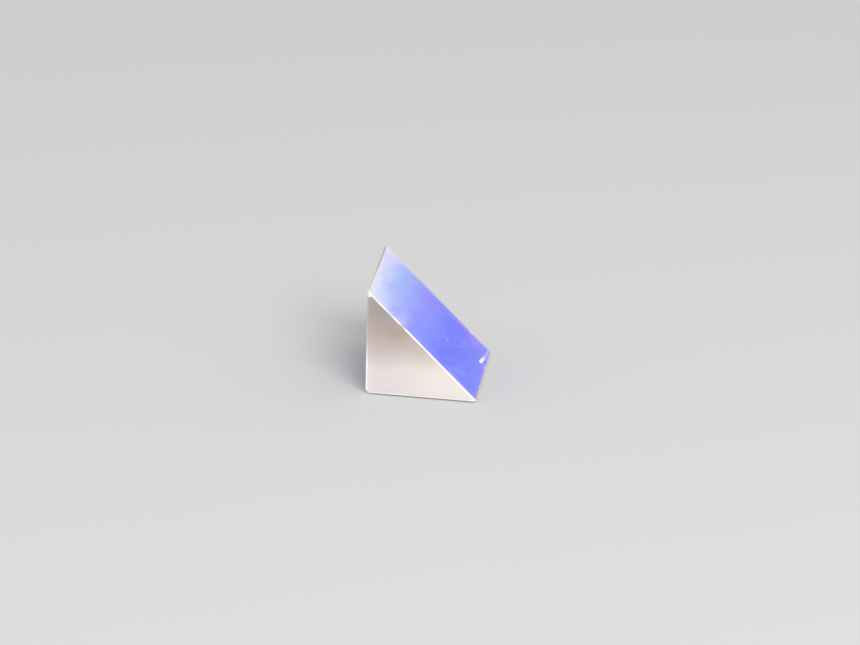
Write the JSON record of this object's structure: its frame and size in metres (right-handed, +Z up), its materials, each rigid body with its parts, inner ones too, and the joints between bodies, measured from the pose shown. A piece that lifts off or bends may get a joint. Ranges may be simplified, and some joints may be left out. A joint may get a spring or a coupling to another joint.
{
  "type": "right angle prism",
  "caption": "Glass right-angle prism that turns a beam by reflection, with polished coated faces, finely ground ends and bevelled edges.",
  "frame": {"origin": "centre of the leg face that the prism rests on, midway between the two ground ends and midway between the sharp corners of that face", "axes": "+Z up out of the resting leg face, -X out of the upright leg face, +X and +Z out of the hypotenuse at 45 degrees, Y along the three long edges from one ground end to the other"},
  "size_m": [0.0098, 0.01, 0.0098],
  "materials": {
    "optical_glass": "polished legs and hypotenuse with a thin violet anti-reflection coating; finely ground satin ends and bevels"
  },
  "bodies": {
    "root": {"prism": "optical_glass"}
  },
  "joints": []
}
